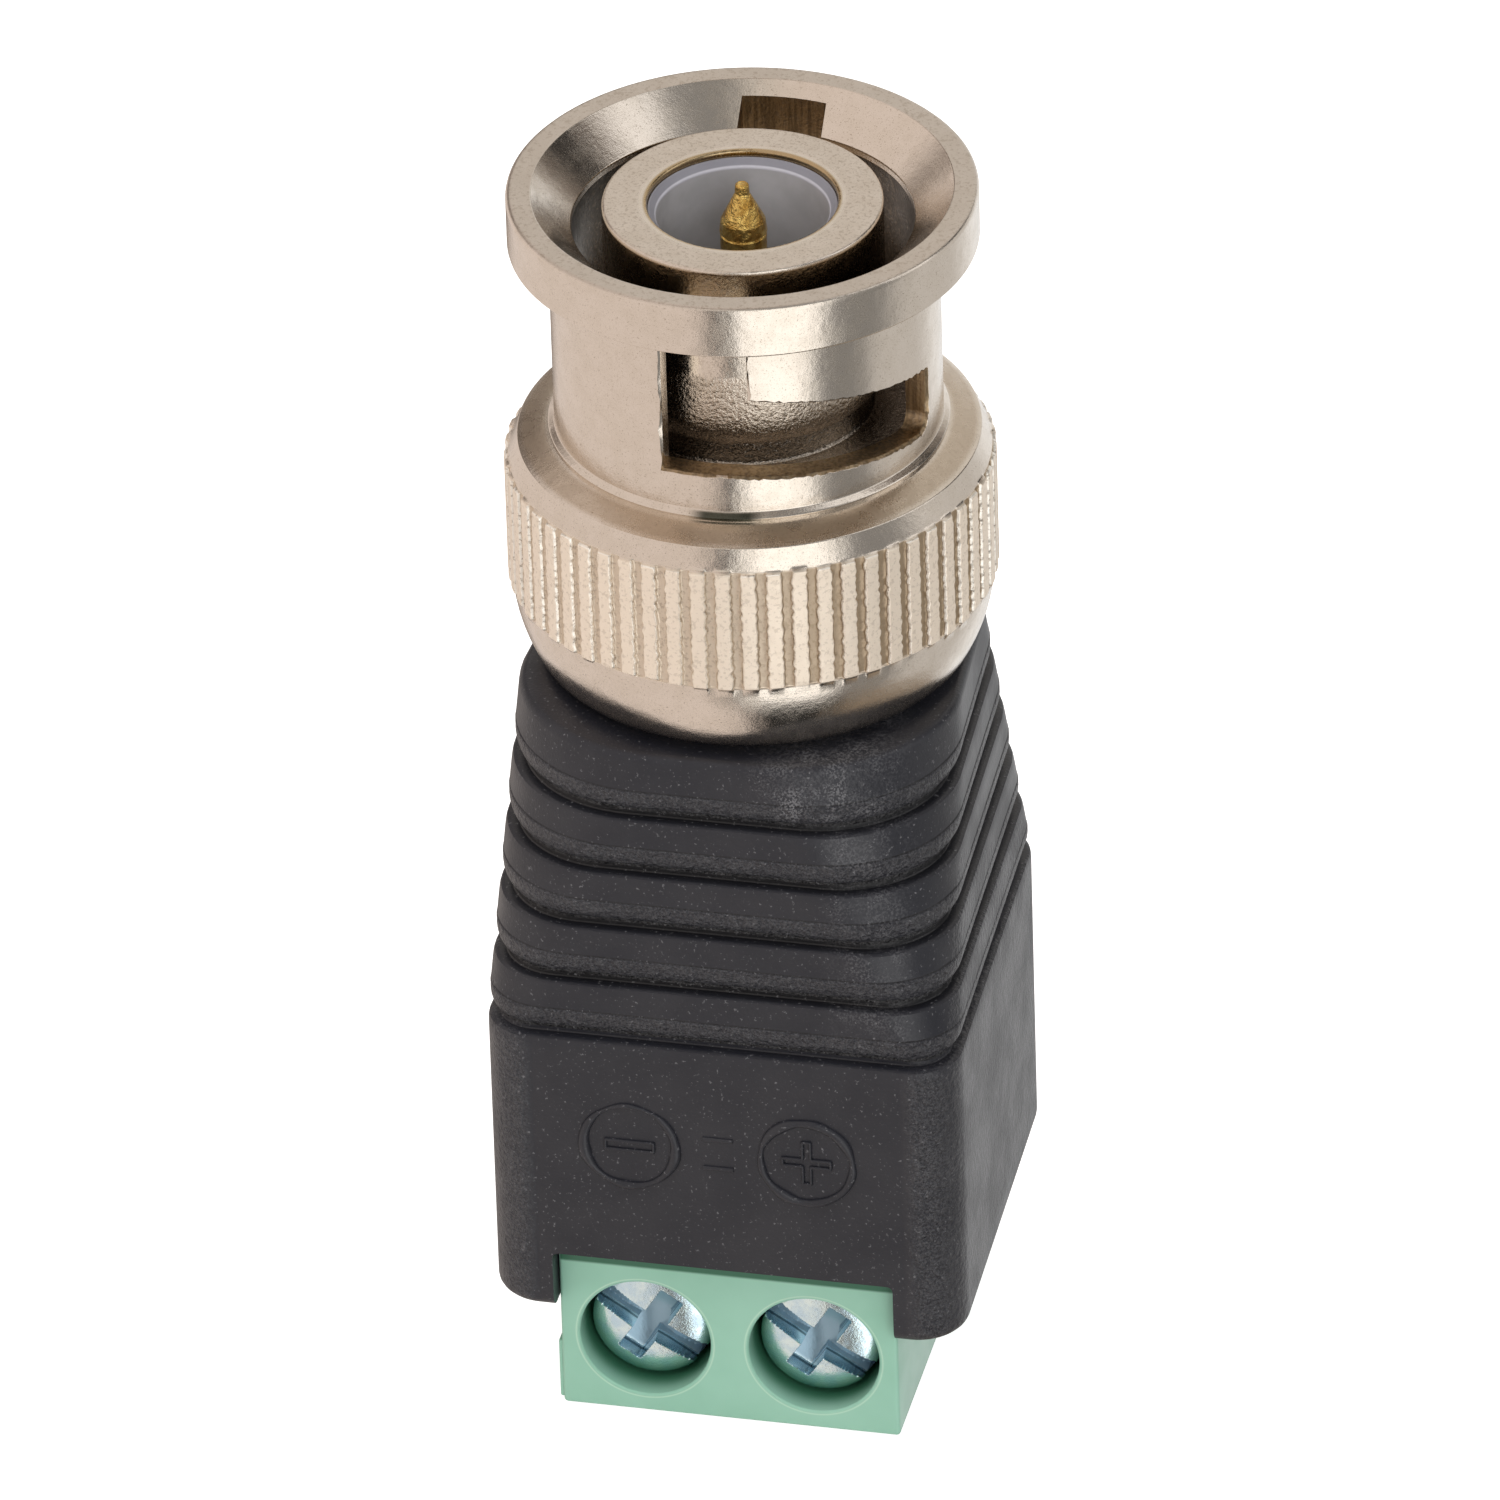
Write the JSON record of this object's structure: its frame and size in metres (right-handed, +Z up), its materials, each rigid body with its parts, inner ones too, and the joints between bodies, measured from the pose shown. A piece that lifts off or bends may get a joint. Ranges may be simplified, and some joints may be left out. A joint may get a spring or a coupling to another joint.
{
  "type": "bnc screw terminal adapter",
  "caption": "Bayonet coaxial plug with a knurled coupling sleeve on a black ribbed moulding that ends in a green screw terminal block.",
  "frame": {"origin": "centre of the square that bounds the part, on the terminal block's wire side, on the plug's axis", "axes": "+Z up the plug's axis to the mating end, -Y the side with the clamp screws, +X to the plus terminal"},
  "size_m": [0.0142, 0.0142, 0.0388],
  "materials": {
    "nickel": "warm satin nickel plate on brass",
    "dielectric": "pale grey-white moulded dielectric",
    "gold": "gold plate",
    "spring_steel": "bright spring steel",
    "brass": "bare brass",
    "black_pvc": "satin black moulding",
    "green_plastic": "mint green moulding, slightly glossy",
    "zinc": "bluish zinc plate on steel",
    "cage_metal": "nickel plated steel",
    "tinned_brass": "tin plate on brass",
    "copper": "bare copper",
    "red_insulation": "red insulation",
    "black_insulation": "black insulation",
    "solder": "tin solder"
  },
  "bodies": {
    "plug": {"outer_contact": "nickel", "insulator": "dielectric", "centre_pin": "gold", "wave_spring": "spring_steel", "moulded_body": "black_pvc", "terminal_housing": "green_plastic", "terminal_pin_minus": "tinned_brass", "terminal_pin_plus": "tinned_brass", "signal_wire": "copper", "ground_wire": "copper", "signal_wire_sleeve": "red_insulation", "ground_wire_sleeve": "black_insulation", "solder_centre": "solder", "solder_shank": "solder", "solder_minus": "solder", "solder_plus": "solder"},
    "washer": {"thrust_washer": "brass"},
    "sleeve": {"coupling_sleeve": "nickel"},
    "screw_minus": {"terminal_screw_minus": "zinc"},
    "cage_minus": {"clamp_cage_minus": "cage_metal"},
    "screw_plus": {"terminal_screw_plus": "zinc"},
    "cage_plus": {"clamp_cage_plus": "cage_metal"}
  },
  "joints": [
    {"name": "coupling_slide", "type": "slide", "parent": "plug", "child": "washer", "axis": [0, 0, 1], "range_m": [0, 0.0006], "stiffness_N_per_m": 4000, "springref_m": -0.0006, "deforming": ["wave_spring"]},
    {"name": "coupling_spin", "type": "hinge", "parent": "washer", "child": "sleeve", "pos_m": [0, 0, 0.03], "axis": [0, 0, 1], "continuous": true},
    {"name": "screw_minus_turn", "type": "hinge", "parent": "plug", "child": "screw_minus", "pos_m": [-0.00254, -0.0045, 0.00257], "axis": [0, 1, 0], "range_deg": [0, 1440]},
    {"name": "cage_minus_lift", "type": "slide", "parent": "plug", "child": "cage_minus", "axis": [0, -1, 0], "range_m": [0, 0.002]},
    {"name": "screw_plus_turn", "type": "hinge", "parent": "plug", "child": "screw_plus", "pos_m": [0.00254, -0.0045, 0.00257], "axis": [0, 1, 0], "range_deg": [0, 1440]},
    {"name": "cage_plus_lift", "type": "slide", "parent": "plug", "child": "cage_plus", "axis": [0, -1, 0], "range_m": [0, 0.002]}
  ],
  "couplings": [
    {"joint": "screw_minus_turn", "follows": "cage_minus_lift", "rad_per_m": 12566},
    {"joint": "screw_plus_turn", "follows": "cage_plus_lift", "rad_per_m": 12566}
  ]
}
